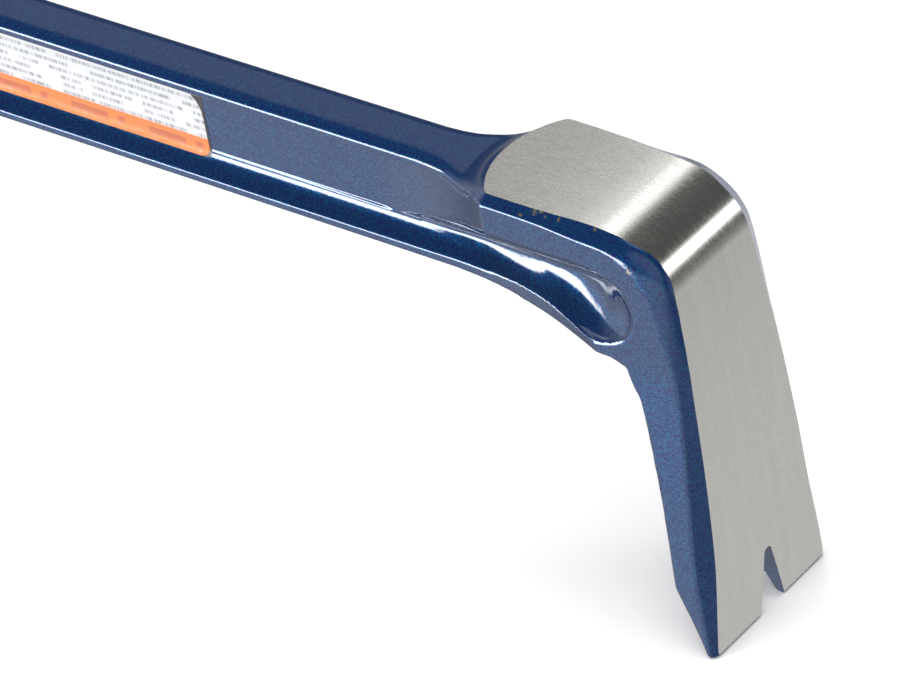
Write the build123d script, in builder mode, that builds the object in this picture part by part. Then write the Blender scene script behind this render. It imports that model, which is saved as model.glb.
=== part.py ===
"""Forged pry bar, 24 in long: I-beam shank, hooked claw at +X, straight claw at -X.

The bar stands as it does on a bench, on the tip of its hooked claw and on the edge of its straight claw.
Profiles are drawn in the bar's own axes: x along the shank from the rear of the head's ground flat,
y across the bar, z up from the shank's top. Those axes are tilted so that both claws reach the floor.
"""
from math import asin, atan2, cos, hypot, sin
import os

from build123d import *

os.makedirs("parts", exist_ok=True)

# driving dimensions, mm, in the bar's own axes
length = 610.0
claw_width = 46.0

# shank section
shank_depth = 30.3
flange_half = 7.0
flange_thick = 3.3
web_half = 3.0
trough_top = -20.0
trough_radius = 8.7

# head: ground flat, bend and the plan flares that widen the shank into it
head_half = 18.4
pad_rise = 4.8
pad_join = 6.0
pad_end = (37.5, 3.75)
pad_half = 16.2
pad_bulge = 6.3
bend_end = (50.8, -9.5)
flare_start = -26.0
flare_radius = 30.0
web_flare_start = -29.0
web_flare_radius = 35.0
foot_flare_start = -22.0
foot_flare_radius = 115.0
foot_flare_turn = 0.34

# hooked claw: the outer face bows gently, the inner face runs down to the tip bevel
face_middle = (53.2, -60.0)
face_end = (51.55, -109.2)
foot_start = (-10.0, -shank_depth)
foot_middle = (14.0, -30.7)
throat = (35.3, -32.6)
inner_middle = (38.5, -42.0)
inner_low = (40.9, -60.0)
bevel_start = (42.4, -91.7)
tip_center = (50.1, -109.0)
tip_radius = 1.45
claw_flare_z = -31.0
claw_middle = (21.0, -66.0)

# bevels beside the ground faces: place along the face, width across it, depth down the side
pad_bevels = ((0.0, 2.1, 2.1), (1.0, 3.3, 3.3))
bend_bevels = ((1 / 3, 4.2, 4.6), (2 / 3, 4.2, 5.0), (1.0, 4.0, 4.0))
face_bevels = ((0.25, 2.8, 2.8), (0.5, 3.3, 3.3), (0.78, 3.5, 3.5), (1.0, 1.7, 1.7))

# rounded pocket that ends the side trough under the head
pocket_x = 28.2
pocket_z = -16.2
pocket_radius = 16.0
pocket_floor_half = 13.3

# straight claw
blade_length = 120.0
blade_bow_radius = 390.0
blade_sections = ((48.0, 15.0), (78.0, 10.0), (106.0, 6.0))
belly_start = 12.0
edge_thick = 2.2
blade_waist = (-470.0, 13.0)
blade_half = 20.0
channel_end = -424.0
channel_runout = 22.0
runout_radius = 70.0

# nail slots: a V that opens from a round apex to the claw's edge
slot_width = 10.2
slot_depth = 17.9
slot_apex_radius = 1.45
slot_offset = 0.7

# label in the channel on the -Y side
label_length = 120.0
label_height = 15.2
label_right = -98.6
label_top = -4.6
label_corner = 3.0
film_thick = 0.25
backing_show = 0.7

# limits that lie outside the whole bar
beyond_head, sky, ground, outside = 70.0, 20.0, -130.0, 30.0

far_x = face_middle[0] - length
blade_root = far_x + blade_length


def blade_point(along, depth):
    """Side-view point of the straight claw: a distance along its bowed top face and a depth under it."""
    turn = asin(along / blade_bow_radius)
    radius = blade_bow_radius - depth
    return (blade_root - radius * sin(turn), radius * cos(turn) - blade_bow_radius)


edge_top = blade_point(blade_length, 0)
edge_low = blade_point(blade_length, edge_thick)

# the tilt at which the round claw tip and the straight claw's lower edge touch one floor
run = tip_center[0] - edge_low[0]
drop = edge_low[1] - tip_center[1]
tilt = asin(tip_radius / hypot(run, drop)) + atan2(drop, run)


def standing(point):
    """Side-view point turned by the tilt."""
    return (point[0] * cos(tilt) - point[1] * sin(tilt), point[0] * sin(tilt) + point[1] * cos(tilt))


middle_x = (standing(edge_top)[0] + standing(tip_center)[0] + tip_radius) / 2
bar_origin = (-middle_x, 0, -standing(edge_low)[1])
side = Plane(origin=bar_origin, x_dir=(cos(tilt), 0, sin(tilt)), z_dir=(0, -1, 0))
plan = Plane(origin=bar_origin, x_dir=side.x_dir, z_dir=side.y_dir)
front = Plane(origin=bar_origin, x_dir=(0, 1, 0), z_dir=side.x_dir)


def half_outline(flare_x, radius, turn):
    """Half outline of the bar seen from above. The flare to the head starts at flare_x and turns outwards."""
    bend_x = flare_x + radius * sin(turn)
    bend_y = flange_half + radius * (1 - cos(turn))
    reach_x = bend_x + (head_half - bend_y) * cos(turn) / sin(turn)
    with BuildSketch(mode=Mode.PRIVATE) as half:
        with BuildLine():
            Polyline((far_x - 5, 0), (far_x - 5, blade_half), (far_x, blade_half))
            Spline((far_x, blade_half), blade_waist, (channel_end + 4, flange_half), tangents=((1, 0), (1, 0)))
            Line((channel_end + 4, flange_half), (flare_x, flange_half))
            RadiusArc((flare_x, flange_half), (bend_x, bend_y), -radius)
            Polyline((bend_x, bend_y), (reach_x, head_half), (beyond_head, head_half), (beyond_head, 0),
                     (far_x - 5, 0))
        make_face()
    return half.sketch


# everything the bar may fill: the shank and head from above, and the claw from the front
with BuildPart() as envelope:
    with BuildSketch(plan.offset(trough_top)):
        add(half_outline(flare_start, flare_radius, 0.9))
        mirror(about=Plane.XZ)
    extrude(amount=sky - trough_top)
    with BuildSketch(plan.offset(trough_top)):
        add(half_outline(foot_flare_start, foot_flare_radius, foot_flare_turn))
        mirror(about=Plane.XZ)
    extrude(amount=ground - trough_top)
    with BuildSketch(front.offset(throat[0] - 1)):
        with BuildLine():
            Line((0, claw_flare_z), (head_half, claw_flare_z))
            ThreePointArc((head_half, claw_flare_z), claw_middle, (claw_width / 2, face_end[1]))
            Polyline((claw_width / 2, face_end[1]), (claw_width / 2, ground), (0, ground), (0, claw_flare_z))
        make_face()
        mirror(about=Plane.YZ)
    extrude(amount=beyond_head)

# side channel on the -Y side: the flat web panel, the trough under it and the rounded pocket that ends it
trough_y = web_half + trough_radius
pocket_y = pocket_floor_half + pocket_radius
web_reach = web_flare_start + (web_flare_radius ** 2 - (web_flare_radius - head_half + web_half) ** 2) ** 0.5


def between(start, end, x, power=1.0):
    """Value at x, on the way from the start of the lower flange's flare to the pocket."""
    return start + (end - start) * ((x - foot_flare_start) / (pocket_x - foot_flare_start)) ** power


with BuildPart() as channel:
    with BuildSketch(plan.offset(-flange_thick)):
        runout_start = (channel_end + channel_runout / 2, -web_half)
        runout_end = (channel_end - channel_runout, -2 * flange_half)
        with BuildLine():
            Line(runout_start, (web_flare_start, -web_half))
            RadiusArc((web_flare_start, -web_half), (web_reach, -head_half), web_flare_radius)
            Polyline((web_reach, -head_half), (web_reach, -outside), (runout_end[0], -outside), runout_end)
            RadiusArc(runout_end, runout_start, runout_radius)
        make_face()
    extrude(amount=trough_top + flange_thick)
    with BuildSketch(front.offset(channel_end)):
        with Locations((-trough_y, trough_top)):
            Circle(trough_radius)
    extrude(amount=foot_flare_start - channel_end)
    for x in (foot_flare_start, -6.0, 11.0, pocket_x):
        with BuildSketch(front.offset(x)):
            with Locations((-between(trough_y, pocket_y, x, 1.5), between(trough_top, pocket_z, x))):
                Circle(between(trough_radius, pocket_radius, x))
    loft()
    with Locations(plan.from_local_coords((pocket_x, -pocket_y, pocket_z))):
        Sphere(pocket_radius)
    with Locations(plan.from_local_coords((channel_end, -trough_y, trough_top))):
        Sphere(trough_radius)

# outer profile of the head, from the ground flat round the bend and down the claw
pad_slope = (pad_rise - pad_end[1]) / pad_end[0]
pad_start = (pad_join, pad_rise - pad_join * pad_slope)
with BuildLine(side):
    pad_line = Line(pad_start, pad_end)
    bend = TangentArc(pad_end, bend_end, tangent=(1, -pad_slope))
    face = ThreePointArc(bend_end, face_middle, face_end)


def side_half(z):
    """Half width of the head and claw at a height: the claw widens towards its edge."""
    share = min(max((claw_flare_z - z) / (claw_flare_z - face_end[1]), 0), 1)
    return head_half + (claw_width / 2 - head_half) * (1.22 * share - 0.22 * share ** 2)


# the strip taken off the -Y edge of the ground faces
with BuildPart() as edge_strip:
    for curve, bevels in ((pad_line, pad_bevels), (bend, bend_bevels), (face, face_bevels)):
        for share, across, down in bevels:
            point = curve @ share
            half = side_half(side.to_local_coords(point).Y)
            with BuildSketch(Plane(origin=point, x_dir=(0, 1, 0), z_dir=curve % share)):
                with BuildLine():
                    Polyline((-half + 2 * across, down), (-half - across, down), (-half - across, -2 * down),
                             close=True)
                make_face()
    loft(ruled=True)

pad_plane = Plane(origin=side.from_local_coords((0, pad_rise)), x_dir=(0, 1, 0),
                  z_dir=side.from_local_coords((pad_slope, 1)) - side.origin)


def slot_sketch(apex, opening):
    """Outline of a nail slot: the round apex and the V that opens along the given direction."""
    along, across = Vector(*opening), Vector(-opening[1], opening[0])
    reach = slot_depth + 4
    wing = slot_apex_radius + (slot_width / 2 - slot_apex_radius) * reach / slot_depth
    center = Vector(*apex) + along * slot_apex_radius
    with BuildSketch(mode=Mode.PRIVATE) as slot:
        with Locations(center):
            Circle(slot_apex_radius)
        with BuildLine():
            Polyline(center - across * slot_apex_radius, center - along * -reach - across * wing,
                     center + along * reach + across * wing, center + across * slot_apex_radius, close=True)
        make_face()
    return slot.sketch


with BuildPart() as forged_bar:
    # side view, run straight through the full width
    with BuildSketch(side):
        with BuildLine():
            ThreePointArc(edge_top, blade_point(blade_length / 2, 0), (blade_root, 0))
            Polyline((blade_root, 0), (pad_join, 0), pad_start, pad_end)
            TangentArc(pad_end, bend_end, tangent=(1, -pad_slope))
            ThreePointArc(bend_end, face_middle, face_end)
            tip = ThreePointArc(face_end, (tip_center[0], tip_center[1] - tip_radius),
                                (tip_center[0] - tip_radius, tip_center[1]))
            Polyline(tip @ 1, bevel_start, inner_low)
            ThreePointArc(inner_low, inner_middle, throat)
            ThreePointArc(throat, foot_middle, foot_start)
            Line(foot_start, (blade_root + belly_start, -shank_depth))
            belly = Spline((blade_root + belly_start, -shank_depth),
                           *[blade_point(along, depth) for along, depth in blade_sections],
                           tangents=((-1, 0), (-1, -0.26)))
            Polyline(belly @ 1, edge_low, edge_top)
        make_face()
    extrude(amount=outside, both=True)
    # the ground flat's rounded rear end, which slopes down to the shank all round
    with BuildSketch(pad_plane):
        with BuildLine():
            rear = ThreePointArc((-pad_half, 0), (0, pad_bulge), (pad_half, 0))
            Polyline(rear @ 1, (pad_half, -pad_join - 1), (-pad_half, -pad_join - 1), rear @ 0)
        make_face()
    extrude(amount=-pad_rise - 1, taper=-45)
    add(envelope.part, mode=Mode.INTERSECT)
    # bevels and channels, the same on both sides
    for cutter in (edge_strip.part, channel.part):
        add(cutter, mode=Mode.SUBTRACT)
        add(cutter.mirror(Plane.XZ), mode=Mode.SUBTRACT)
    # nail slots in the hooked claw and in the straight claw
    with BuildSketch(front.offset(throat[0] + 2)):
        add(slot_sketch((slot_offset, tip_center[1] - tip_radius + slot_depth), (0, -1)))
    extrude(amount=outside, mode=Mode.SUBTRACT)
    with BuildSketch(plan.offset(-shank_depth)):
        add(slot_sketch((far_x + slot_depth, 0), (-1, 0)))
    extrude(amount=shank_depth, mode=Mode.SUBTRACT)
forged_bar.part.label = "forged_bar"
export_step(forged_bar.part, "parts/forged_bar.step")

# the two films of the label, stuck on the web one over the other
with BuildPart() as label_backing:
    with BuildSketch(side.offset(web_half)):
        with Locations((label_right - label_length / 2, label_top - label_height / 2)):
            Rectangle(label_length, label_height)
    extrude(amount=film_thick)
label_backing.part.label = "label_backing"
export_step(label_backing.part, "parts/label_backing.step")

with BuildPart() as label_face:
    with BuildSketch(side.offset(web_half + film_thick)):
        with Locations((label_right - label_length / 2, label_top - label_height / 2)):
            RectangleRounded(label_length - 2 * backing_show, label_height, label_corner)
    extrude(amount=film_thick)
label_face.part.label = "label_face"
export_step(label_face.part, "parts/label_face.step")
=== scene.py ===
"""Looks of the forged pry bar: one painted forging with ground steel faces, and its label's two films."""
from math import asin, atan2, cos, hypot, radians, sin

import bmesh
import bpy
import numpy as np
from mathutils import Matrix, Vector


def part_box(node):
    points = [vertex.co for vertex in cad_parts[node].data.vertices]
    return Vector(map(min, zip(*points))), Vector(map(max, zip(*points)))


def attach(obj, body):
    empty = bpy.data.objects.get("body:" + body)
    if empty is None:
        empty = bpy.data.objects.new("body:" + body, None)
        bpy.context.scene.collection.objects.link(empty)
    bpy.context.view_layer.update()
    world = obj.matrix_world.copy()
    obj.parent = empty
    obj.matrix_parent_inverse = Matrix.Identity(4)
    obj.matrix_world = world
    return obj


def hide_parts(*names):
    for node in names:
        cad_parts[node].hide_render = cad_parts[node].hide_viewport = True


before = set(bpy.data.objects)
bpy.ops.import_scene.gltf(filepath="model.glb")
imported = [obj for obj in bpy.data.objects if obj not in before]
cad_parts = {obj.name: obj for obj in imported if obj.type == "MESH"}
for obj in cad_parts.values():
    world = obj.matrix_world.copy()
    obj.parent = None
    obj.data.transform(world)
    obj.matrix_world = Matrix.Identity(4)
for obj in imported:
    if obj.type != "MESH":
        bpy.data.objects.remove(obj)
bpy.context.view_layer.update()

MM = 0.001

# ---------------------------------------------------------------- the bar's own axes
# Shapes are worked out in millimetres in the bar's own axes, as the CAD model's are: x along the shank from
# the rear of the head's ground flat, y across the bar, z up from the shank's top. The bar stands tilted, on
# the tip of its hooked claw and on the edge of its straight claw.

length = 610.0
face_middle = (53.2, -60.0)
face_end = (51.55, -109.2)
tip_center = (50.1, -109.0)
tip_radius = 1.45
blade_length = 120.0
blade_bow = 390.0
edge_thick = 2.2
far_x = face_middle[0] - length
blade_root = far_x + blade_length


def blade_point(along, depth):
    """Side-view point of the straight claw: a distance along its bowed top face and a depth under it."""
    turn = asin(along / blade_bow)
    radius = blade_bow - depth
    return (blade_root - radius * sin(turn), radius * cos(turn) - blade_bow)


edge_low = blade_point(blade_length, edge_thick)
run = tip_center[0] - edge_low[0]
drop = edge_low[1] - tip_center[1]
tilt = asin(tip_radius / hypot(run, drop)) + atan2(drop, run)
forging_low, forging_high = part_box("forged_bar")
tip_x = tip_center[0] * cos(tilt) - tip_center[1] * sin(tilt) + tip_radius
edge_z = edge_low[0] * sin(tilt) + edge_low[1] * cos(tilt)
bar_origin = np.array([forging_high.x / MM - tip_x, 0.0, forging_low.z / MM - edge_z])


def to_row(points):
    """Bar axes in millimetres to the row frame in metres."""
    x, y, z = np.asarray(points, float).T
    turned = np.stack([x * cos(tilt) - z * sin(tilt), y, x * sin(tilt) + z * cos(tilt)], axis=-1)
    return (turned + bar_origin) * MM


def to_bar(points):
    """Row frame in metres to the bar axes in millimetres."""
    x, y, z = (np.asarray(points, float) / MM - bar_origin).T
    return np.stack([x * cos(tilt) + z * sin(tilt), y, z * cos(tilt) - x * sin(tilt)], axis=-1)


# ---------------------------------------------------------------- side view outlines

def arc(start, middle, end, steps):
    """Points on the arc through three points, without its start."""
    (ax, ay), (bx, by), (cx, cy) = start, middle, end
    d = 2 * (ax * (by - cy) + bx * (cy - ay) + cx * (ay - by))
    a2, b2, c2 = ax * ax + ay * ay, bx * bx + by * by, cx * cx + cy * cy
    ux = (a2 * (by - cy) + b2 * (cy - ay) + c2 * (ay - by)) / d
    uy = (a2 * (cx - bx) + b2 * (ax - cx) + c2 * (bx - ax)) / d
    angles = np.unwrap([atan2(py - uy, px - ux) for px, py in (start, middle, end)])
    radius = hypot(ax - ux, ay - uy)
    turns = np.linspace(angles[0], angles[2], steps + 1)[1:]
    return [(ux + radius * cos(t), uy + radius * sin(t)) for t in turns]


def bezier(a, b, c, d, steps):
    """Points on a cubic Bezier curve, without its start."""
    t = np.linspace(0, 1, steps + 1)[1:, None]
    curve = ((1 - t) ** 3 * np.array(a) + 3 * t * (1 - t) ** 2 * np.array(b)
             + 3 * t * t * (1 - t) * np.array(c) + t ** 3 * np.array(d))
    return [tuple(p) for p in curve]


def smooth_curve(points, steps=8):
    """A Catmull-Rom curve through the points."""
    p = np.array([points[0], *points, points[-1]], float)
    t = np.linspace(0, 1, steps, endpoint=False)[:, None]
    spans = []
    for a, b, c, d in zip(p, p[1:], p[2:], p[3:]):
        spans.append(b + t * (c - a) / 2 + t ** 2 * (a - 2.5 * b + 2 * c - d / 2)
                     + t ** 3 * (1.5 * (b - c) + (d - a) / 2))
    return np.vstack([*spans, p[-1:]])


def step(t):
    """Smooth step from 0 to 1."""
    t = np.clip(t, 0, 1)
    return t * t * (3 - 2 * t)


shank_depth = 30.3
pad_rise = 4.8
pad_end = (31.0, 4.25)
bend_end = (50.85, -9.6)

# the ground line: the flat, the bend and the outer face of the claw, run on a little past the tip
ground_line = [(-60.0, pad_rise), (0.0, pad_rise), (18.0, 4.62), pad_end]
ground_line += bezier(pad_end, (44.7, 3.6), (50.25, -1.0), bend_end, 48)
ground_line += arc(bend_end, face_middle, face_end, 40)
ground_line += [(50.4, -116.0)]
ground_line = np.array(ground_line)

# the ground top face of the straight claw, from past its edge to where the paint starts
blade_past_edge = 3.0
blade_paint_start = 20.0
blade_stations = np.linspace(blade_length + blade_past_edge, blade_paint_start, 60)
blade_ground = [blade_point(along, 0) for along in blade_stations]

# the underside, from the bevel at the claw's tip up its inner face and past the throat to the head's foot
throat = (35.3, -32.6)
inner_line = [(36.2, -35.5), (37.2, -38.0), (38.5, -41.0), (39.8, -50.0), (40.9, -60.0), (41.7, -70.0),
              (42.1, -80.0), (42.4, -91.7)]
tip_bevel = [(43.8, -95.0), (45.9, -100.0), (47.7, -105.0), (48.75, -108.6)]
foot_depth = 30.9
foot_line = [(33.4, -31.9), (31.3, -31.2), (24.0, -foot_depth), (14.0, -foot_depth), (0.0, -foot_depth)]
belly_start = 12.0
# distances along the straight claw, and how thick it is there
blade_sections = ((48.0, 15.0), (78.0, 10.0), (106.0, 6.0))
# its forged top dips a little below the bowed face near the shank, and stands proud of it near the edge
blade_dip = 0.3
blade_dip_run = 18.0
blade_lift = 0.5
blade_lift_run = 40.0


def blade_top(along):
    """Side-view point of the straight claw's top as it is forged."""
    lifted = (blade_lift + blade_dip) * step((along - blade_dip_run) / blade_lift_run)
    dipped = blade_dip * step(along / blade_dip_run)
    return blade_point(along, dipped - lifted)


# the forging before it is ground, in the side view: it stands proud of the ground line
side_outline = [blade_top(along) for along in np.linspace(blade_length, 0, 50)]
side_outline += [(-16.0, 1.0), (-16.0, 6.4), (38.0, 6.4), (48.0, 3.0), (53.2, -4.0), (54.4, -12.0),
                 (54.8, -60.0), (53.4, -104.0)]
side_outline += arc((51.8, -108.2), (50.3, -110.3), (48.75, -108.6), 8)
side_outline += tip_bevel[2::-1]
side_outline += [tuple(p) for p in smooth_curve(inner_line[::-1], 4)]
side_outline += [throat] + foot_line
belly = [(0.0, -foot_depth), (-50.0, -shank_depth), (blade_root + 40, -shank_depth),
         (blade_root + belly_start, -shank_depth)]
belly += [blade_point(along, depth) for along, depth in blade_sections] + [edge_low]
side_outline += [tuple(p) for p in smooth_curve(belly, 10)[1:]]
side_outline = np.array(side_outline)


def along_path(path, x, z):
    """Distance to an open path, positive on its left, and how far along the path the nearest point is."""
    best = np.full(np.broadcast(x, z).shape, np.inf)
    signed = np.zeros_like(best)
    station = np.zeros_like(best)
    start = 0.0
    for (ax, az), (bx, bz) in zip(path, path[1:]):
        span = hypot(bx - ax, bz - az)
        ux, uz = (bx - ax) / span, (bz - az) / span
        t = np.clip((x - ax) * ux + (z - az) * uz, 0, span)
        dx, dz = x - ax - t * ux, z - az - t * uz
        distance = np.hypot(dx, dz)
        nearer = distance < best
        best = np.where(nearer, distance, best)
        signed = np.where(nearer, np.copysign(distance, ux * (z - az) - uz * (x - ax)), signed)
        station = np.where(nearer, start + t, station)
        start += span
    return signed, station


def inside_outline(outline, x, z):
    """Whether points lie inside a closed outline."""
    odd = np.zeros(np.broadcast(x, z).shape, bool)
    for (ax, az), (bx, bz) in zip(outline, np.roll(outline, -1, axis=0)):
        if az != bz:
            odd ^= ((az > z) != (bz > z)) & (x < (bx - ax) * (z - az) / (bz - az) + ax)
    return odd


def outline_distance(outline, x, z):
    """Distance to a closed outline, negative inside."""
    closed = np.vstack([outline, outline[:1]])
    distance = np.abs(along_path(closed, x, z)[0])
    return np.where(inside_outline(outline, x, z), -distance, distance)


# ---------------------------------------------------------------- widths

# half thickness of the web, and the arcs it flares out on at its two ends: a start and a radius
web_half = 3.0
web_flare = (-48.0, 92.0)
web_runout = (-413.0, 70.0)
# the last rise of the web, up to the side of the head
web_end_start = -3.4
web_end_run = 3.4
web_end_rise = 3.4
shank_half = 7.0
head_half = 18.4
claw_half = 23.0
claw_flare_z = -31.0
claw_flare_power = 1.15
claw_start = 31.0
flange_flare = smooth_curve([(-29.0, shank_half), (-20.5, 8.1), (-11.8, 11.7), (-6.0, 14.9),
                             (-1.8, head_half)])
blade_plan = smooth_curve([(far_x - 10, 20.0), (far_x, 20.0), (-520.0, 18.0), (-470.0, 13.0), (-435.0, 8.2),
                           (-420.0, shank_half)])
# the underside's flare: it curves from its start and runs straight past its line
foot_flare_start = -25.0
foot_flare_round = 230.0
foot_flare_line = 17.0
foot_flare_limit = -100.0
foot_blend_height = -14.0
foot_blend_run = 6.0


def sag(run, radius):
    """How far an arc of that radius leaves its tangent after a run."""
    run = np.clip(run, 0, 0.98 * radius)
    return radius - np.sqrt(radius ** 2 - run ** 2)


def web_surface(x):
    """Half thickness of the web, which flares out to the head and runs out towards the straight claw."""
    return (web_half + sag(x - web_flare[0], web_flare[1])
            + web_end_rise * step((x - web_end_start) / web_end_run)
            + sag(web_runout[0] - x, web_runout[1]))


def top_half(x):
    """Half width of the bar along its top."""
    return np.interp(x, np.append(blade_plan[:, 0], flange_flare[:, 0]),
                     np.append(blade_plan[:, 1], flange_flare[:, 1]))


def foot_half(x):
    """Half width along the underside, which flares to the head more slowly than the top does."""
    turn = np.clip(x, foot_flare_start, foot_flare_line) - foot_flare_start
    line = np.maximum(x - foot_flare_line, 0) * 2 * (foot_flare_line - foot_flare_start) / foot_flare_round
    flare = shank_half + turn ** 2 / foot_flare_round + line
    return np.where(x < foot_flare_limit, top_half(x), np.minimum(flare, head_half))


def side_half(z):
    """Half width of the head and the claw, which widens towards its edge."""
    share = np.clip((claw_flare_z - z) / (claw_flare_z - face_end[1]), 0, 1)
    return head_half + (claw_half - head_half) * np.sin(share * np.pi / 2) ** claw_flare_power


def plan_half(x, z):
    """Half width of the whole bar at a place in the side view."""
    low = step((foot_blend_height - z) / foot_blend_run)
    half = top_half(x) * (1 - low) + foot_half(x) * low
    return np.where(x > claw_start, np.maximum(half, side_half(z)), half)


def rounded(a, b, radius):
    """Overlap of two solids, with the edge between them rounded."""
    corner = np.hypot(np.maximum(a + radius, 0), np.maximum(b + radius, 0))
    return np.minimum(np.maximum(a, b), -radius) + corner


def merged(a, b, radius):
    """Union of two solids, with the corner between them filleted."""
    return -rounded(-a, -b, radius)


# ---------------------------------------------------------------- the channel in each side of the shank

flange_thick = 3.0
recess_low = -22.0
# the trough: a round groove under a slanting ceiling. Its floor rises towards the head, where the bowl
# takes over.
trough_floor = 3.0
trough_radius = 6.2
trough_height = -21.4
trough_end = -424.0
trough_fillet = 2.0
floor_rise_start = -12.0
floor_rise_ease = 6.0
floor_rise = 0.5
rim_height = -6.4
ceiling_lean = 0.9
# the bowl that ends the trough under the head: it grows from the trough's own height to its full height, then
# closes over its reach. bowl_depth is how deep it is along the bar.
bowl_start = -34.0
bowl_run = 40.0
bowl_half_height = 11.3
bowl_middle = 14.0
bowl_reach = 25.9
bowl_depth = smooth_curve([(-40.0, 15.4), (-20.0, 15.2), (-6.0, 14.0), (8.0, 11.8), (18.0, 10.0), (26.0, 7.5),
                           (33.0, 5.0), (41.0, 3.6)])
bowl_least_fillet = 0.1
bowl_fillet = 5.0
# brings the bowl's value near a true distance inside it and outside it
bowl_scale = 0.7
bowl_outside = 6.0


def trough(x, half, z):
    """Distance to the surface of the trough and the bowl at its end, negative in their hollow."""
    past = x - floor_rise_start
    floor = trough_floor + floor_rise * (past + np.sqrt(past ** 2 + floor_rise_ease ** 2)) / 2
    inward = np.minimum(half - floor - trough_radius, 0)
    along = np.minimum(x - trough_end, 0)
    down = np.minimum(z - trough_height, 0)
    groove = np.sqrt(along ** 2 + inward ** 2 + down ** 2) - trough_radius

    grown = step((x - bowl_start) / bowl_run)
    half_height = trough_radius + (bowl_half_height - trough_radius) * grown
    rise = (z - trough_height + trough_radius - half_height) / half_height
    reach = (np.maximum(x - bowl_middle, 0) / bowl_reach) ** 4 + rise ** 2
    depth = np.interp(x, bowl_depth[:, 0], bowl_depth[:, 1])
    bowl = np.where(reach < 1, head_half - depth * np.sqrt(np.clip(1 - reach, 0, 1)),
                    head_half + bowl_outside * (reach - 1))
    bowl = np.maximum(bowl_scale * (bowl - half), bowl_start - x)

    ceiling = (z - rim_height + ceiling_lean * (head_half - half)) / hypot(1, ceiling_lean)
    open_trough = merged(groove, bowl, bowl_least_fillet + bowl_fillet * grown)
    return rounded(open_trough, ceiling, trough_fillet)


# ---------------------------------------------------------------- the solid

# bevel beside the ground faces: distance along the ground line, width across, depth down the side, bulge
bevels = np.array([(0, 2.2, 2.0, 0), (15, 2.4, 2.2, 0), (27, 3.2, 3.0, 0), (36, 3.3, 3.3, 0.2),
                   (41, 3.5, 4.4, 0.6), (46, 4.3, 5.6, 0.9), (52, 4.4, 5.8, 0.9), (58, 4.0, 4.6, 0.6),
                   (70, 3.3, 3.4, 0.2), (80, 2.7, 2.7, 0), (90, 2.7, 2.7, 0), (110, 3.35, 3.3, 0),
                   (130, 3.7, 3.6, 0), (140, 3.2, 3.2, 0), (150, 2.3, 2.3, 0), (158, 1.6, 1.6, 0)])
bevel_line = smooth_curve(bevels)
# the ground line starts this far behind the ground flat's rear, where the stations count from
station_zero = 60.0
edge_radius = 1.2
bevel_edge_radius = 0.45
# round the bend, the far side's bevel is shallower than the near side's
far_bevel_ease = 0.46
far_bevel_start = 14.0
far_bevel_rise = 24.0
far_bevel_end = 96.0
far_bevel_fall = 36.0
# rounding of the channel's edge: lip_radius on the shank, rim_radius round the bowl
lip_radius = 0.8
rim_radius = 1.5
rim_start = (-6.0, -16.0)
rim_run = 6.0
# the shank's crowned top
crown_start = 3.1
crown_radius = 9.0
crown_rise = 0.7
# the slope behind the ground flat, round in plan
rear_center = 17.4
rear_radius = 23.7
rear_slope = radians(54)
rear_fillet = 5.0
# the flange's underside leans, and rises out of the web's flare beside the head
flange_slope = 0.43
flange_fade = 5.0
flange_fade_start = -13.0
flange_fade_run = 11.0
# fillet between the web's recess and the trough, which grows as the web flares
least_merge = 0.1
flare_merge = 1.6
flare_merge_start = 4.0
flare_merge_run = 4.0
lean_reach = 0.2


def forging(x, y, z):
    """Signed distance to the forging before its faces are ground, negative in the steel."""
    half = np.abs(y)
    outline = outline_distance(side_outline, x, z)
    wide = plan_half(x, z)
    lean = (plan_half(x + lean_reach, z) - plan_half(x - lean_reach, z)) / (2 * lean_reach)
    sides = (half - wide) / np.sqrt(1 + lean ** 2)

    # the shank's top, and the slope from it up to the round rear end of the ground flat
    outside = np.hypot(np.maximum(rear_center - x, 0), half) - rear_radius
    slope = (z - pad_rise) * cos(rear_slope) + outside * sin(rear_slope)
    top = z - crown_rise + sag(half - wide + shank_half - crown_start, crown_radius)
    core = np.maximum(outline, merged(top, slope, rear_fillet))
    solid = rounded(core, sides, edge_radius)

    # bevels beside the ground faces
    depth, station = along_path(ground_line, x, z)
    across, down, bulge = (np.interp(station - station_zero, bevel_line[:, 0], bevel_line[:, i])
                           for i in (1, 2, 3))
    far = (y > 0) * step((station - station_zero - far_bevel_start) / far_bevel_rise)
    far = far * step((station_zero + far_bevel_end - station) / far_bevel_fall)
    down = down * (1 - far_bevel_ease * far)
    bulge = bulge * (1 - far)
    share = np.clip((half - wide) / across + 1, 0, 1)
    bevel = ((half - wide + across) * down + depth * across) / np.hypot(across, down)
    bevel = bevel - bulge * 4 * share * (1 - share)
    solid = rounded(solid, bevel, bevel_edge_radius)

    # channel: the web's recess under the flange, and the trough
    thick = flange_thick - flange_fade * step((x - flange_fade_start) / flange_fade_run)
    ceiling = (z + thick + flange_slope * np.maximum(top_half(x) - half, 0)) / hypot(1, flange_slope)
    recess = np.maximum(np.maximum(web_surface(x) - half, ceiling), recess_low - z)
    merge = least_merge + flare_merge * step((web_surface(x) - flare_merge_start) / flare_merge_run)
    hollow = merged(recess, trough(x, half, z), merge)
    by_bowl = step((x - rim_start[0]) / rim_run) * step((z - rim_start[1]) / rim_run)
    return rounded(solid, -hollow, lip_radius + (rim_radius - lip_radius) * by_bowl)


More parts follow.
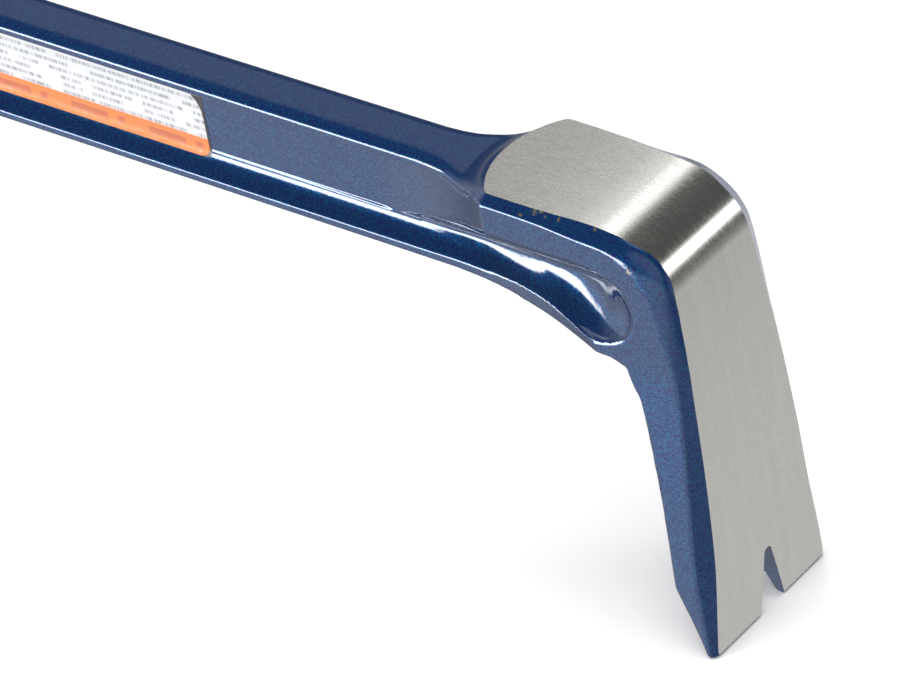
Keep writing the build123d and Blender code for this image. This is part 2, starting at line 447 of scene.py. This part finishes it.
def surface_net(field, axes):
    """Vertices and quads of the zero surface of a field sampled on a grid with uneven spacing."""
    shape = np.array(field.shape) - 1
    cells, points, quads = [], [], []
    for axis in range(3):
        before = np.moveaxis(field, axis, 0)[:-1]
        after = np.moveaxis(field, axis, 0)[1:]
        found = np.argwhere((before < 0) != (after < 0))
        low, high = before[tuple(found.T)], after[tuple(found.T)]
        share = low / (low - high)
        u, v = [a for a in range(3) if a != axis]
        place = np.zeros((len(found), 3), int)
        place[:, axis], place[:, u], place[:, v] = found.T
        point = np.stack([axes[a][place[:, a]] for a in range(3)], axis=-1)
        ahead = axes[axis][place[:, axis] + 1]
        point[:, axis] += share * (ahead - point[:, axis])
        around = []
        for du, dv in ((-1, -1), (0, -1), (0, 0), (-1, 0)):
            cell = place.copy()
            cell[:, u] += du
            cell[:, v] += dv
            around.append((cell[:, 0] * shape[1] + cell[:, 1]) * shape[2] + cell[:, 2])
            points.append(point)
        cells += around
        quad = np.stack(around, axis=-1)
        flip = (low < 0) == (axis == 1)
        quad[flip] = quad[flip, ::-1]
        quads.append(quad)
    ids, index = np.unique(np.concatenate(cells), return_inverse=True)
    points = np.concatenate(points)
    count = np.bincount(index)
    vertices = np.stack([np.bincount(index, points[:, a]) / count for a in range(3)], axis=-1)
    return vertices, np.searchsorted(ids, np.concatenate(quads))


# the grid is finest at the head and the claw, and coarse along the plain part of the shank
fine_spacing = 0.6
channel_end = (trough_end - 40, trough_end + 20)
head_start = -52.0
grid_x = np.concatenate([np.arange(far_x - 3, channel_end[0], 1.2), np.arange(*channel_end, 1.0),
                         np.arange(channel_end[1], head_start, 4.0),
                         np.arange(head_start, 56.5, fine_spacing)])
grid_y = np.arange(-24.3, 24.4, fine_spacing)
grid_z = np.arange(-112.2, 7.9, fine_spacing)


def new_piece(name, vertices, faces):
    """A mesh object made from bar-axes vertices, with all its faces turned outwards."""
    mesh = bpy.data.meshes.new(name)
    mesh.from_pydata(to_row(vertices).tolist(), [], [[int(i) for i in face] for face in faces])
    work = bmesh.new()
    work.from_mesh(mesh)
    bmesh.ops.recalc_face_normals(work, faces=work.faces)
    work.to_mesh(mesh)
    work.free()
    piece = bpy.data.objects.new(name, mesh)
    bpy.context.scene.collection.objects.link(piece)
    return piece


def prism(name, outline, low, high, place):
    """A straight cutter: an outline run from low to high. place turns (u, v, w) into bar axes."""
    n = len(outline)
    vertices = [place(u, v, w) for w in (low, high) for u, v in outline]
    faces = [range(n), range(n, 2 * n)]
    faces += [(i, (i + 1) % n, n + (i + 1) % n, n + i) for i in range(n)]
    return new_piece(name, vertices, faces)


def cut(piece, cutter):
    """Takes the cutter out of the piece and removes the cutter."""
    modifier = piece.modifiers.new("cut", "BOOLEAN")
    modifier.operation = "DIFFERENCE"
    modifier.solver = "MANIFOLD"
    modifier.object = cutter
    bpy.context.view_layer.update()
    result = bpy.data.meshes.new_from_object(piece.evaluated_get(bpy.context.evaluated_depsgraph_get()))
    piece.modifiers.clear()
    piece.data = result
    bpy.data.objects.remove(cutter)


# nail slots: a V that opens from a round apex to the claw's edge
slot_width = 10.2
slot_depth = 17.9
slot_apex_radius = 1.45
slot_offset = 0.7
slot_beyond = 6.0


def slot_outline(opening):
    """Half turn round the apex and the two sides of the V. The claw's edge is slot_depth from the apex."""
    reach = slot_depth + slot_beyond
    wing = slot_apex_radius + (slot_width / 2 - slot_apex_radius) * (reach - slot_apex_radius) / slot_depth
    turns = np.linspace(0, np.pi, 17)
    apex = [(slot_apex_radius * cos(t), opening * slot_apex_radius * (1 - sin(t))) for t in turns]
    return apex + [(-wing, opening * reach), (wing, opening * reach)]


# ---------------------------------------------------------------- materials

class Nodes:
    """Short ways to build the node tree of a material or a world."""

    def __init__(self, owner):
        owner.use_nodes = True
        self.tree = owner.node_tree
        self.shader = self.tree.nodes.get("Principled BSDF")

    def link(self, source, target):
        self.tree.links.new(source, target)

    def add(self, kind, settings=None, **inputs):
        """A node with its properties set, and its inputs set to values or linked to sockets."""
        node = self.tree.nodes.new("ShaderNode" + kind)
        for key, value in (settings or {}).items():
            setattr(node, key, value)
        for key, value in inputs.items():
            socket = node.inputs[int(key[1:]) if key[1:].isdigit() else key]
            if isinstance(value, bpy.types.NodeSocket):
                self.link(value, socket)
            else:
                socket.default_value = value
        return node

    def math(self, operation, a, b=0.0):
        node = self.add("Math", {"operation": operation}, _0=a, _1=b)
        return node.outputs[0]

    def ramp(self, value, low, high, out_low=0.0, out_high=1.0):
        """The value's way from low to high, smoothed, as a number from out_low to out_high."""
        node = self.add("MapRange", {"interpolation_type": "SMOOTHSTEP"}, _0=value, _1=low, _2=high,
                        _3=out_low, _4=out_high)
        return node.outputs[0]

    def mix(self, share, a, b):
        """A colour between a and b."""
        node = self.add("Mix", {"data_type": "RGBA"}, _0=share, _6=a, _7=b)
        return node.outputs[2]

    def noise(self, place, scale, detail=2.0, roughness=0.5):
        node = self.add("TexNoise", Vector=place, Scale=scale, Detail=detail, Roughness=roughness)
        return node.outputs[0]


def new_material(name):
    made = bpy.data.materials.new(name)
    return made, Nodes(made)


# paint chips along the near edge of the ground flat: where, in bar axes, and how large
paint_chips = (((11.2, -17.9, 3.3), 0.45), ((14.6, -16.7, 4.3), 0.7), ((16.4, -16.3, 4.6), 0.55),
               ((17.6, -16.9, 4.1), 0.4), ((21.2, -16.2, 4.2), 0.5), ((31.2, -15.6, 3.9), 0.4),
               ((41.3, -18.3, -3.3), 0.5))


def paint_material():
    """Dark blue metallic paint under a clear gloss coat: a violet pigment with fine teal flakes in it."""
    made, n = new_material("blue_paint")
    place = n.add("Attribute", {"attribute_name": "bar"}).outputs["Vector"]
    flake = n.add("TexVoronoi", Vector=place, Scale=4.0)
    tone = n.add("SeparateColor", Color=flake.outputs["Color"])
    shine = n.ramp(tone.outputs[0], 0.35, 0.95)
    color = n.mix(shine, (0.005, 0.014, 0.100, 1), (0.002, 0.082, 0.180, 1))
    for center, size in paint_chips:
        away = n.add("VectorMath", {"operation": "DISTANCE"}, _0=place, _1=center).outputs["Value"]
        away = n.math("ADD", away, n.math("MULTIPLY", n.noise(place, 1.6, 3.0), 1.8))
        color = n.mix(n.ramp(away, size + 0.95, size + 0.8), color, (0.13, 0.12, 0.085, 1))
    n.link(color, n.shader.inputs["Base Color"])
    n.link(n.ramp(tone.outputs[0], 0.2, 0.9, 0.35, 0.75), n.shader.inputs["Metallic"])
    n.shader.inputs["Roughness"].default_value = 0.42
    n.shader.inputs["Specular IOR Level"].default_value = 0.0
    n.shader.inputs["Coat Weight"].default_value = 1.0
    n.shader.inputs["Coat Roughness"].default_value = 0.04
    bump = n.add("Bump", Strength=0.2, Distance=0.0001, Height=tone.outputs[1])
    n.link(bump.outputs[0], n.shader.inputs["Normal"])
    peel = n.add("Bump", Strength=0.25, Distance=0.00006, Height=n.noise(place, 0.9, 1.0))
    n.link(peel.outputs[0], n.shader.inputs["Coat Normal"])
    return made


def steel_material():
    """Bare ground steel with its grinding marks along the face."""
    made, n = new_material("ground_steel")
    place = n.add("Attribute", {"attribute_name": "bar"}).outputs["Vector"]
    along = n.add("Attribute", {"attribute_name": "grain"}).outputs["Fac"]
    across = n.add("SeparateXYZ", Vector=place).outputs[1]
    stretched = {"X": n.math("MULTIPLY", across, 3.0), "Y": n.math("MULTIPLY", along, 0.22)}
    lines = n.add("CombineXYZ", **stretched).outputs[0]
    fine = n.noise(lines, 1.0, 4.0, 0.65)
    broad = n.noise(lines, 0.12, 2.0)
    tone = n.ramp(n.math("ADD", n.math("MULTIPLY", fine, 0.7), n.math("MULTIPLY", broad, 0.3)), 0.3, 0.7)
    speck = n.ramp(n.noise(place, 2.4, 3.0), 0.32, 0.62)
    color = n.mix(tone, (0.50, 0.495, 0.47, 1), (0.58, 0.575, 0.545, 1))
    color = n.mix(speck, n.mix(0.22, color, (0.3, 0.3, 0.28, 1)), color)
    n.link(color, n.shader.inputs["Base Color"])
    n.shader.inputs["Metallic"].default_value = 1.0
    n.link(n.ramp(fine, 0.3, 0.7, 0.21, 0.29), n.shader.inputs["Roughness"])
    bump = n.add("Bump", Strength=0.16, Distance=0.00004, Height=fine)
    n.link(bump.outputs[0], n.shader.inputs["Normal"])
    return made


# ---------------------------------------------------------------- the bar

field = forging(grid_x[:, None, None], grid_y[None, :, None], grid_z[None, None, :])
bar = new_piece("pry_bar", *surface_net(field, (grid_x, grid_y, grid_z)))

# the cutters reach well clear of the bar
cutter_half = 30.0
cutter_right = 80.0
cutter_top = 40.0
cutter_left = far_x - 20
above_line = [tuple(p) for p in ground_line]
above_line += [(cutter_right, ground_line[-1][1]), (cutter_right, cutter_top),
               (ground_line[0][0], cutter_top)]
cut(bar, prism("ground_cutter", above_line, -cutter_half, cutter_half, lambda u, v, w: (u, w, v)))
above_blade = blade_ground + [(blade_ground[-1][0], cutter_half), (cutter_left, cutter_half),
                              (cutter_left, blade_ground[0][1])]
cut(bar, prism("blade_cutter", above_blade, -cutter_half, cutter_half, lambda u, v, w: (u, w, v)))
apex_z = tip_center[1] - tip_radius + slot_depth
cut(bar, prism("hook_slot", slot_outline(-1), throat[0], 70.0,
               lambda u, v, w: (w, u + slot_offset, v + apex_z)))
cut(bar, prism("blade_slot", slot_outline(-1), -40.0, 20.0,
               lambda u, v, w: (far_x + slot_depth + v, u, w)))

bar.data.materials.clear()
bar.data.materials.append(paint_material())
bar.data.materials.append(steel_material())

corners = np.empty(len(bar.data.vertices) * 3, np.float32)
bar.data.vertices.foreach_get("co", corners)
place = to_bar(corners.reshape(-1, 3))
centers = np.empty(len(bar.data.polygons) * 3, np.float32)
bar.data.polygons.foreach_get("center", centers)
middle = to_bar(centers.reshape(-1, 3))
# ground faces are the ones that lie on the ground line or on the straight claw's bow
line_gap = 0.004
bow_gap = 0.012
bow_start = 15.0
near_line = np.abs(along_path(ground_line, middle[:, 0], middle[:, 2])[0]) < line_gap
from_bow = np.abs(np.hypot(middle[:, 0] - blade_root, middle[:, 2] + blade_bow) - blade_bow)
near_bow = (from_bow < bow_gap) & (middle[:, 0] < blade_root - bow_start)
steel = near_line | near_bow
bar.data.polygons.foreach_set("material_index", steel.astype(np.int32))
bar.data.polygons.foreach_set("use_smooth", np.ones(len(steel), bool))

# where each point is in bar axes, for the materials, and how far along the ground line, for the grain
surface = bar.data.attributes.new("bar", "FLOAT_VECTOR", "POINT")
surface.data.foreach_set("vector", place.astype(np.float32).ravel())
station = along_path(ground_line, place[:, 0], place[:, 2])[1]
grain = bar.data.attributes.new("grain", "FLOAT", "POINT")
grain.data.foreach_set("value", (station - station_zero).astype(np.float32))

sharp_turn = radians(50)
work = bmesh.new()
work.from_mesh(bar.data)
for edge in work.edges:
    if len(edge.link_faces) == 2:
        a, b = edge.link_faces
        edge.smooth = a.material_index == b.material_index and a.normal.angle(b.normal, 0) < sharp_turn
work.to_mesh(bar.data)
work.free()


def ground_normals(points):
    """Normals of the ground faces at points on them, in bar axes: across the line's own direction."""
    station = along_path(ground_line, points[:, 0], points[:, 2])[1]
    spans = np.diff(ground_line, axis=0)
    lengths = np.hypot(*spans.T)
    turns = np.unwrap(np.arctan2(spans[:, 1], spans[:, 0]))
    turn = np.interp(station, np.cumsum(lengths) - lengths / 2, turns)
    return np.stack([-np.sin(turn), np.zeros_like(turn), np.cos(turn)], axis=-1)


def forged_normals(points, reach=0.12):
    """Normals of the forging near points on it, in bar axes, from how its distance changes there."""
    changes = []
    for axis in range(3):
        shift = np.zeros(3)
        shift[axis] = reach
        changes.append(forging(*(points + shift).T) - forging(*(points - shift).T))
    normals = np.stack(changes, axis=-1)
    return normals / np.linalg.norm(normals, axis=-1, keepdims=True)


def turned_to_row(normals):
    """Directions in bar axes to the row frame."""
    return to_row(normals) / MM - bar_origin


# the smooth faces are lit as the shapes they stand for, except where a painted corner is near a sharp edge
agreement = 0.8
bar.data.update()
normals = np.array([c.vector for c in bar.data.corner_normals])
of_face = np.repeat(np.arange(len(steel)), [p.loop_total for p in bar.data.polygons])
of_point = np.array([c.vertex_index for c in bar.data.loops])
on_line, on_bow = near_line[of_face], near_bow[of_face]
normals[on_line] = turned_to_row(ground_normals(place[of_point[on_line]]))
away = place[of_point[on_bow]] - (blade_root, 0, -blade_bow)
away[:, 1] = 0
normals[on_bow] = turned_to_row(away / np.linalg.norm(away, axis=-1, keepdims=True))
forged = turned_to_row(forged_normals(place))
painted = ~steel[of_face] & ((normals * forged[of_point]).sum(axis=-1) > agreement)
normals[painted] = forged[of_point[painted]]
bar.data.normals_split_custom_set(normals.tolist())

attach(bar, "root")
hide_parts("forged_bar")


# ---------------------------------------------------------------- the label

label_right = -98.6
label_length = 120.0
label_top = -4.6
label_bottom = -24.0
backing_show = 0.7
backing_drop = 0.2
label_rows = 48


def film(name, left, right, bottom, corners, lift, thick):
    """A thin film stuck on the web and wrapped into the trough. corners: its upper and lower corner radii."""
    heights = np.linspace(label_top, bottom, label_rows)
    drop = np.minimum(heights - trough_height, 0)
    under = web_half + trough_radius - np.sqrt(trough_radius ** 2 - drop ** 2)
    inset = np.zeros(label_rows)
    for from_end, radius in ((label_top - heights, corners[0]), (heights - bottom, corners[1])):
        short = np.clip(radius - from_end, 0, radius)
        inset += radius - np.sqrt(radius ** 2 - short ** 2)
    vertices = []
    for z, half, shift in zip(heights, under, inset):
        for raised in (lift, lift + thick):
            vertices += [(left + shift, -half - raised, z), (right - shift, -half - raised, z)]
    faces = [(0, 1, 3, 2), tuple(4 * (label_rows - 1) + i for i in (0, 1, 3, 2))]
    for row in range(label_rows - 1):
        a = 4 * row
        faces += [(a + i, a + j, a + j + 4, a + i + 4) for i, j in ((0, 1), (1, 3), (3, 2), (2, 0))]
    piece = new_piece(name, np.array(vertices), faces)
    surface = piece.data.attributes.new("bar", "FLOAT_VECTOR", "POINT")
    surface.data.foreach_set("vector", np.array(vertices, np.float32).ravel())
    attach(piece, "root")
    return piece


def label_black_material():
    """Dull black film with faint handling marks."""
    made, n = new_material("label_black")
    place = n.add("Attribute", {"attribute_name": "bar"}).outputs["Vector"]
    marks = n.noise(place, 0.8, 4.0)
    n.link(n.mix(marks, (0.010, 0.010, 0.011, 1), (0.022, 0.022, 0.024, 1)), n.shader.inputs["Base Color"])
    n.link(n.ramp(marks, 0.3, 0.7, 0.35, 0.5), n.shader.inputs["Roughness"])
    return made


# the print, in bar axes: rows of short dashes in groups, over an orange band with plain dark bars
row_pitch = 2.15
stroke_pitch = 0.42
word_pitch = 3.3
band_top = -18.9
band_blur = 0.06
bar_pitch = 25.0
bar_low = -22.6
bar_high = -20.5


def label_print_material():
    """White film with rows of grey dashes, and an orange band with plain dark bars. Nothing is readable."""
    made, n = new_material("label_print")
    place = n.add("Attribute", {"attribute_name": "bar"}).outputs["Vector"]
    along, _, height = n.add("SeparateXYZ", Vector=place).outputs

    def between(value, low, high, soft):
        above = n.ramp(value, low - soft, low + soft)
        return n.math("MULTIPLY", above, n.ramp(value, high + soft, high - soft))

    def random_cell(pitch, row):
        cell = n.math("FLOOR", n.math("DIVIDE", along, pitch))
        cells = n.add("CombineXYZ", X=cell, Y=row).outputs[0]
        return n.add("TexWhiteNoise", {"noise_dimensions": "2D"}, Vector=cells).outputs["Value"]

    rows = n.math("DIVIDE", height, row_pitch)
    row = n.math("FLOOR", rows)
    dashes = between(n.math("FRACT", rows), 0.24, 0.72, 0.07)
    dashes = n.math("MULTIPLY", dashes, n.ramp(random_cell(stroke_pitch, row), 0.05, 0.9, 0.15, 1.0))
    dashes = n.math("MULTIPLY", dashes, n.ramp(random_cell(word_pitch, row), 0.16, 0.17))
    white = n.mix(n.math("MULTIPLY", dashes, 0.62), (0.68, 0.69, 0.72, 1), (0.10, 0.11, 0.13, 1))
    turn = n.math("FRACT", n.math("DIVIDE", n.math("SUBTRACT", along, label_right), bar_pitch))
    bars = n.math("ADD", between(turn, 0.20, 0.68, 0.004), between(turn, 0.80, 0.90, 0.02))
    bars = n.math("MULTIPLY", bars, between(height, bar_low, bar_high, 0.12))
    orange = n.mix(n.math("MULTIPLY", bars, 0.55), (1.0, 0.215, 0.06, 1), (0.12, 0.08, 0.06, 1))
    in_band = n.ramp(height, band_top + band_blur, band_top - band_blur)
    n.link(n.mix(in_band, white, orange), n.shader.inputs["Base Color"])
    n.link(n.ramp(n.noise(place, 0.7, 4.0), 0.3, 0.7, 0.35, 0.5), n.shader.inputs["Roughness"])
    return made


label_left = label_right - label_length
backing = film("label_backing_film", label_left, label_right, label_bottom - backing_drop,
               corners=(0.3, 1.6), lift=0.02, thick=0.05)
backing.data.materials.append(label_black_material())
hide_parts("label_backing")
face = film("label_face_film", label_left + backing_show, label_right - backing_show, label_bottom,
            corners=(7.5, 2.5), lift=0.07, thick=0.08)
face.data.materials.append(label_print_material())
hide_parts("label_face")


# ---------------------------------------------------------------- floor, lights and camera

def floor_piece():
    """A plain pale floor. Gloss on the bar reflects the studio instead of it."""
    size = 6.0
    mesh = bpy.data.meshes.new("floor")
    corners = [(-size, -size, 0), (size, -size, 0), (size, size, 0), (-size, size, 0)]
    mesh.from_pydata(corners, [], [(0, 1, 2, 3)])
    piece = bpy.data.objects.new("floor", mesh)
    bpy.context.scene.collection.objects.link(piece)
    made, n = new_material("floor_white")
    n.shader.inputs["Base Color"].default_value = (0.9, 0.9, 0.9, 1)
    n.shader.inputs["Roughness"].default_value = 0.9
    piece.data.materials.append(made)
    piece.visible_glossy = False


floor_piece()


def soft_light(name, place, aim, size, power):
    """A large soft light that looks at a point and isn't seen in the gloss."""
    light = bpy.data.lights.new(name, "AREA")
    light.shape = "RECTANGLE"
    light.size, light.size_y = size
    light.energy = power
    lamp = bpy.data.objects.new(name, light)
    bpy.context.scene.collection.objects.link(lamp)
    lamp.location = place
    lamp.rotation_euler = (Vector(aim) - Vector(place)).to_track_quat("-Z", "Y").to_euler()
    lamp.visible_glossy = False


soft_light("overhead", (0.1, -0.2, 2.2), (0.1, 0, 0), (2.6, 2.6), 70)
soft_light("front_fill", (-0.6, -1.7, 0.7), (0.1, 0, 0.05), (1.4, 1.0), 22)

# the studio that the gloss reflects: direction, inner and outer angle in degrees, strength
# in the row frame, so the studio stays put when the camera moves
ambient = 0.12
studio_lights = (((-0.50, 0.58, 0.64), 2, 7, 4.6),
                 ((-0.645, 0.58, 0.495), 5, 16, 0.42),
                 ((-0.15, 0.05, 0.99), 8, 26, 1.2),
                 ((0.734, 0.581, 0.352), 6, 13, 5.4),
                 ((0.58, 0.58, -0.57), 10, 24, 0.60),
                 ((-0.15, 0.905, -0.39), 10, 30, 0.9),
                 ((0.35, -0.85, 0.35), 12, 34, 0.8),
                 ((1.0, 0.0, 0.05), 10, 28, 0.6),
                 ((-1.0, 0.0, 0.05), 10, 28, 0.6))
# the bright table lies below, the strip light stands low on the label's side
table_strength = 1.15
table_toward = (-0.30, -0.95, 0.0)
strip_height = (-0.46, -0.38, -0.14, -0.06)
strip_facing = (0.84, 0.93)
strip_toward = (-0.60, -0.80, 0.0)
strip_strength = 18.0


def studio_world():
    """A dim studio with soft lights, a bright table under it and a low strip light on the label's side."""
    world = bpy.data.worlds.new("studio")
    n = Nodes(world)
    direction = n.add("TexCoord").outputs["Generated"]
    height = n.add("SeparateXYZ", Vector=direction).outputs[2]

    def facing(toward):
        toward = tuple(Vector(toward).normalized())
        return n.add("VectorMath", {"operation": "DOT_PRODUCT"}, _0=direction, _1=toward).outputs["Value"]

    table = n.math("MULTIPLY", n.ramp(height, 0.0, -0.16, 0.0, table_strength),
                   n.ramp(facing(table_toward), 0.15, 0.68, 0.15, 1.0))
    total = n.math("ADD", ambient, table)
    for toward, inner, outer, strength in studio_lights:
        light = n.ramp(facing(toward), cos(radians(outer)), cos(radians(inner)), 0.0, strength)
        total = n.math("ADD", total, light)
    a, b, c, d = strip_height
    strip = n.math("MULTIPLY", n.ramp(height, a, b), n.ramp(height, d, c))
    strip = n.math("MULTIPLY", strip, n.ramp(facing(strip_toward), *strip_facing, 0.0, strip_strength))
    background = n.tree.nodes["Background"]
    n.link(n.math("ADD", total, strip), background.inputs["Color"])
    background.inputs["Strength"].default_value = 1.0
    bpy.context.scene.world = world


studio_world()
bpy.context.scene.view_settings.view_transform = "Standard"

# the camera looks down at the hooked end from its front right, with a long lens
camera_place = (0.9824, -0.9416, 1.1105)
camera_heading = radians(39.206)
camera_look_down = radians(41.435)
camera_roll = radians(-2.998)
camera = bpy.data.objects.new("camera", bpy.data.cameras.new("camera"))
bpy.context.scene.collection.objects.link(camera)
camera.data.lens = 272.0
camera.data.sensor_width = 36.0
camera.data.clip_start = 0.05
camera.matrix_world = (Matrix.Translation(camera_place) @ Matrix.Rotation(camera_heading, 4, "Z")
                       @ Matrix.Rotation(radians(90) - camera_look_down, 4, "X")
                       @ Matrix.Rotation(camera_roll, 4, "Z"))
bpy.context.scene.camera = camera
